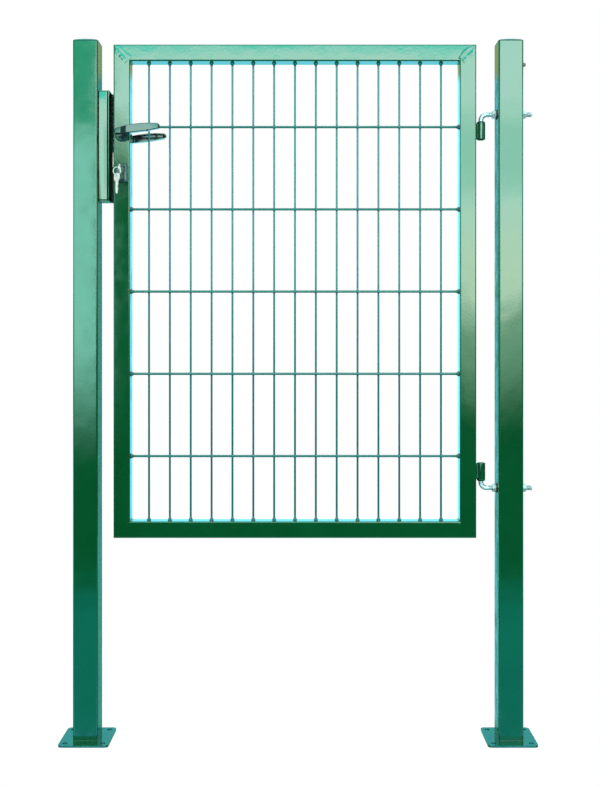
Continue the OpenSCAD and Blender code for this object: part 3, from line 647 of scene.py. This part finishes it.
def lever_shape(face):
    """Lever: a hollow section carried along the bar. Its middle line and half height are parabolas through heel,
    middle and tip; the front is slightly crowned, leans back, is bevelled above and below, and slopes down to the
    hub; the back is hollow between hub and tip. The neck is a turned piece with a slight waist."""
    heel_x, tip_x, back_y = -0.010, 0.098, 0.056
    quarter = np.pi / 2
    x = np.concatenate([heel_x + 0.004 * (1 - np.cos(np.linspace(0, quarter, 8))), np.linspace(-0.0055, 0.0915, 90),
                        0.092 + 0.006 * np.sin(np.linspace(0, quarter, 12))])[:, None]
    stations = [heel_x, 0.049, tip_x]
    middle = np.polyval(np.polyfit(stations, [0.0004, 0.0088, 0.0130], 2), x)
    half = np.polyval(np.polyfit(stations, [0.0060, 0.0100, 0.0057], 2), x)
    heel = np.sqrt(np.clip(1 - (1 - np.clip((x - heel_x) / 0.0022, 0, 1)) ** 2, 0.30, 1))
    tip = np.sqrt(np.clip(1 - (1 - np.clip((tip_x - x) / 0.006, 0, 1)) ** 2, 0.10, 1))
    half = half * heel * tip
    thick = 0.013 - 0.0018 * (x / tip_x) ** 2 - 0.0026 * np.clip((0.0180 - x) / 0.0125, 0, 1)
    thick = thick * (0.55 + 0.45 * tip) * (0.9 + 0.1 * heel)
    bevel = np.minimum(0.0016, 0.35 * half)
    wall = np.minimum(0.0023, 0.4 * half)
    hollow = 0.0095 * np.clip((x - 0.0115) / 0.006, 0, 1) * np.clip((0.0935 - x) / 0.005, 0, 1)
    w = np.linspace(-1, 1, 13)
    back = np.zeros_like(x)
    front = thick + 0.00002 * (1 - w ** 2) - 0.00020 * w
    z = [-half, -half, w * (half - bevel), half, half, half - wall, (half - wall - 0.0004) * w[::-2], wall - half]
    y = [back, thick - bevel, front, thick - bevel, back, back, hollow * np.ones(7), back]
    z, y = np.concatenate(z, axis=1) + middle, np.concatenate(y, axis=1) + back_y
    bar = np.stack([x * np.ones(z.shape[1]), face * y, z], -1)
    u = np.linspace(0, 1, 14)
    neck = turned(0.0100 - 0.0012 * np.sin(np.pi * u) - 0.0006 * (u > 0.99), 0.0263 + 0.0305 * u, 48)
    return [skin(bar + lever_at), skin(set_in(neck, lever_at, (1, 0, 0), (0, 0, -face)))]


for place, face in (("front", -1), ("rear", 1)):
    piece(place + "_handle", lever_shape(face), lever_coat, "handles", [place + "_lever"])

# Keys and ring


def key_shape(origin, u, v):
    """Flat key. Bow: rings between the hole and the round edge, a share of the way out along each ray, with a sunk
    field; blade: a strip with a groove on both sides, its lower edge cut by a triangle wave of changing depth."""
    t, bow_r, hole_off, hole_r = 0.0011, 0.011, 0.0065, 0.003
    f = turn(64)
    edge = hole_off * np.cos(f) + np.sqrt((hole_off * np.cos(f)) ** 2 - hole_off ** 2 + bow_r ** 2)
    share = np.array([0.0, 0.0, 0.04, 0.16, 0.22, 0.78, 0.84, 0.95, 1.0])
    height = np.array([0.0, t - 0.0002, t, t, t - 0.00035, t - 0.00035, t, t, t - 0.0004])
    share, height = np.concatenate([share, share[:0:-1]]), np.concatenate([height, -height[:0:-1]])
    bow = turned(hole_r + (edge - hole_r) * share[:, None], height, 64) - [hole_off, 0, 0]
    half, tip_x, cut_pitch = 0.004, 0.039, 0.0042
    x = np.linspace(0.0085, tip_x, 150)[:, None]
    depth = np.clip((x - 0.0165) / 0.002, 0, 1) * (0.0014 + 0.0008 * np.sin(620 * x))
    cut = depth * np.clip(1.6 - 2.4 * np.abs((x / cut_pitch) % 1 - 0.5), 0, 1)
    tip = np.clip((tip_x - x) / 0.003, 0.15, 1)
    lower, upper = (cut - half) * tip, half * tip
    groove = np.array([1, 0.5, 0.42, 0.05, -0.03])
    a = np.concatenate([upper * groove, lower, lower, upper * groove[::-1]], axis=1)
    b = t * np.array([1, 1, 0.5, 0.5, 1, 1, -1, -1, -0.5, -0.5, -1, -1])
    blade = np.stack([x + 0 * a, a, b + 0 * a], -1)
    return [skin(set_in(bow, origin, u, v), loop_rows=True), skin(set_in(blade, origin, u, v))]


def split_coil(middle, count=150):
    """Split ring: a flat oval wire carried along nearly two turns of a shallow helix."""
    q = np.linspace(0, 3.92 * np.pi, count)
    rise = 0.000405 * (q / np.pi - 2)
    coil = middle + np.stack([0.009 * np.cos(q - 0.6), rise, 0.009 * np.sin(q - 0.6)], -1)
    f = turn(10)
    flat_wire = np.stack([0.0008 * np.cos(f), 0.00042 * np.sin(f)], -1) * np.ones((count, 1, 1))
    return carried(coil, (0, 1, 0), flat_wire)


key_bow = key_at + [0, -0.045, 0]
low, high = corners("key_ring")
ring_at = (low + high) / 2
askew = np.sqrt(0.5)
piece("turned_key", key_shape(key_bow, (0, 1, 0), (0, 0, 1)), key_nickel, "key", ["lock_key"])
piece("split_ring", [skin(split_coil(ring_at))], key_nickel, "key_bunch", ["key_ring"])
piece("hanging_key", key_shape(ring_at - [0, 0, 0.0155], (0, 0, -1), (-askew, askew, 0)),
      key_nickel, "key_bunch", ["spare_key"])

# Stage: surroundings, floor, camera

scene = bpy.context.scene
scene.view_settings.view_transform = "Standard"
scene.view_settings.look = "None"
world = bpy.data.worlds.new("studio")
scene.world = world
world.use_nodes = True
world.cycles.sampling_method = "NONE"
add, put = node_tools(world.node_tree)


def calc(operation, a, b=0.0):
    """Result of an operation on one or two values."""
    node = add("ShaderNodeMath", i0=a, i1=b)
    node.operation = operation
    return node.outputs[0]


def step(value, low, high):
    """Soft step from 0 to 1 as a value goes from low to high."""
    node = add("ShaderNodeMapRange", i0=value, i1=low, i2=high)
    node.interpolation_type = "SMOOTHSTEP"
    return node.outputs[0]


def mix(factor, a, b):
    """Mix of two colours, each given as numbers or as a link."""
    node = add("ShaderNodeMix", i0=factor)
    node.data_type = "RGBA"
    for key, colour in (("i6", a), ("i7", b)):
        put(node, key, colour if isinstance(colour, bpy.types.NodeSocket) else (*colour, 1))
    return node.outputs[2]


# Fields of light that gloss mirrors, by direction: ahead of the leaf they lie on a plane, across and up
dx, dy, dz = add("ShaderNodeSeparateXYZ", Vector=add("ShaderNodeTexCoord").outputs["Generated"]).outputs
ahead = calc("MAXIMUM", calc("MULTIPLY", dy, -1.0), 0.05)
across, up = calc("DIVIDE", dx, ahead), calc("DIVIDE", dz, ahead)

# Low down, from the top: dark, teal, a bright blue, a dim teal
low_light = mix(step(up, -0.26, -0.21), (0.05, 1.25, 1.30), (0.01, 0.03, 0.02))
low_light = mix(step(up, -0.3840, -0.3818), (0.7, 3.1, 4.7), low_light)
low_light = mix(step(up, -0.62, -0.48), (0.12, 0.40, 0.42), low_light)

# Large light field above a slanted edge
edge = calc("ADD", calc("ADD", up, calc("MULTIPLY", across, 0.53)), -0.085)
edge = calc("SUBTRACT", edge, calc("MAXIMUM", calc("SUBTRACT", across, 0.17), 0.0))
edge_start = calc("ADD", -0.05, calc("MULTIPLY", across, -0.23))
half_light = mix(step(edge, edge_start, 0.0), low_light, (2.2, 4.0, 2.8))
band = calc("MULTIPLY", step(across, 0.05, 0.12), calc("MULTIPLY", step(up, 0.13, 0.16), step(up, 0.24, 0.20)))
full_light = mix(step(up, 0.08, 0.16), (7.6, 10.4, 8.0), (6.7, 10.6, 9.4))
full_light = mix(band, full_light, (4.4, 8.8, 7.2))
top_edge = calc("MULTIPLY", step(up, 0.2785, 0.2840), step(across, 0.185, 0.172))
full_light = mix(top_edge, full_light, (0.9, 9.0, 7.4))
full_light = mix(step(up, 0.30, 0.36), full_light, (0.8, 6.4, 5.6))
box_light = mix(step(edge, 0.0, 0.055), half_light, full_light)

# Green field on the left, where the latch post mirrors it
high_light = mix(step(up, 0.19, 0.22), (3.2, 8.4, 7.0), (0.45, 3.9, 2.5))
left_light = mix(step(up, -0.12, 0.02), low_light, high_light)
front = mix(step(across, -0.1950, -0.1935), left_light, box_light)
front = mix(step(up, 0.45, 0.90), front, (0.2, 1.6, 1.7))
inside = calc("MULTIPLY", step(across, -0.62, -0.42), step(across, 0.52, 0.38))
outside_light = mix(step(up, -0.26, -0.21), low_light, (0.06, 0.10, 0.09))
front = mix(inside, outside_light, front)

# Behind the leaf: a level field with a window, rims and flanks beside it, a field above
beside = calc("ABSOLUTE", calc("DIVIDE", dx, calc("MAXIMUM", dy, 0.05)))
level = mix(step(beside, 0.1705, 0.178), (0.52, 2.05, 2.55), (0.13, 0.56, 0.49))
level = mix(step(dz, -0.36, -0.32), (0.10, 0.50, 0.30), level)
window = calc("MULTIPLY", step(dz, -0.22, -0.18), step(dz, 0.14, 0.10))
window = calc("MULTIPLY", step(beside, 0.13, 0.10), window)
level = mix(window, level, (1.2, 2.8, 2.0))
rim = mix(step(dz, -0.02, 0.10), (0.05, 2.6, 3.6), (0.6, 7.5, 10.0))
rim = mix(step(dz, -0.24, -0.17), (0.10, 0.60, 0.40), rim)
flank = mix(step(dz, -0.02, 0.10), (0.05, 0.35, 0.20), (1.4, 2.1, 1.9))
sides = mix(step(dy, 0.12, 0.28), flank, rim)
level = mix(step(dy, 0.80, 0.60), level, sides)
upper = mix(step(dy, 0.80, 0.60), (0.24, 1.32, 1.46), (1.4, 1.6, 1.5))
upper = mix(step(dz, 0.295, 0.325), (0.50, 0.72, 0.38), upper)
back = mix(step(dz, 0.236, 0.250), level, upper)
seen = mix(step(dy, -0.72, -0.60), front, back)
seen = mix(step(dz, 0.62, 0.78), seen, (1.6, 2.2, 2.0))

# Dull surfaces get neutral light from all round, and the camera sees white
ray = add("ShaderNodeLightPath").outputs
seen = mix(ray["Is Diffuse Ray"], seen, (2.0, 2.0, 2.0))
put(world.node_tree.nodes["Background"], "Color", mix(ray["Is Camera Ray"], seen, (1, 1, 1)))

floor_z = -0.0005
floor_mesh = bpy.data.meshes.new("floor")
floor_corners = [(-5, -1.7, floor_z), (4, -1.7, floor_z), (4, 7, floor_z), (-5, 7, floor_z)]
floor_mesh.from_pydata(floor_corners, [], [(0, 1, 2, 3)])
floor = bpy.data.objects.new("floor", floor_mesh)
scene.collection.objects.link(floor)
floor.visible_glossy = False
floor_finish = bpy.data.materials.new("floor_finish")
floor_finish.use_nodes = True
add, put = node_tools(floor_finish.node_tree)
white = add("ShaderNodeBsdfDiffuse", Color=(0.8, 0.8, 0.8, 1)).outputs[0]
glow = add("ShaderNodeEmission", Color=(1, 1, 1, 1), Strength=1.0).outputs[0]
camera_ray = add("ShaderNodeLightPath").outputs["Is Camera Ray"]
both = add("ShaderNodeMixShader", i0=camera_ray, i1=white, i2=glow).outputs[0]
put(floor_finish.node_tree.nodes["Material Output"], "Surface", both)
floor_mesh.materials.append(floor_finish)

picture_height = 786
focal_pixels = 1047.5
shift_pixels = (-6.7, -49)
sensor = 36
camera_data = bpy.data.cameras.new("camera")
camera = bpy.data.objects.new("camera", camera_data)
scene.collection.objects.link(camera)
scene.camera = camera
camera.location = (-0.492, -2.55, 0.96)
camera.rotation_euler = (np.pi / 2, 0, 0)
camera_data.sensor_width = sensor
camera_data.lens = focal_pixels / picture_height * sensor
camera_data.shift_x = shift_pixels[0] / picture_height
camera_data.shift_y = shift_pixels[1] / picture_height
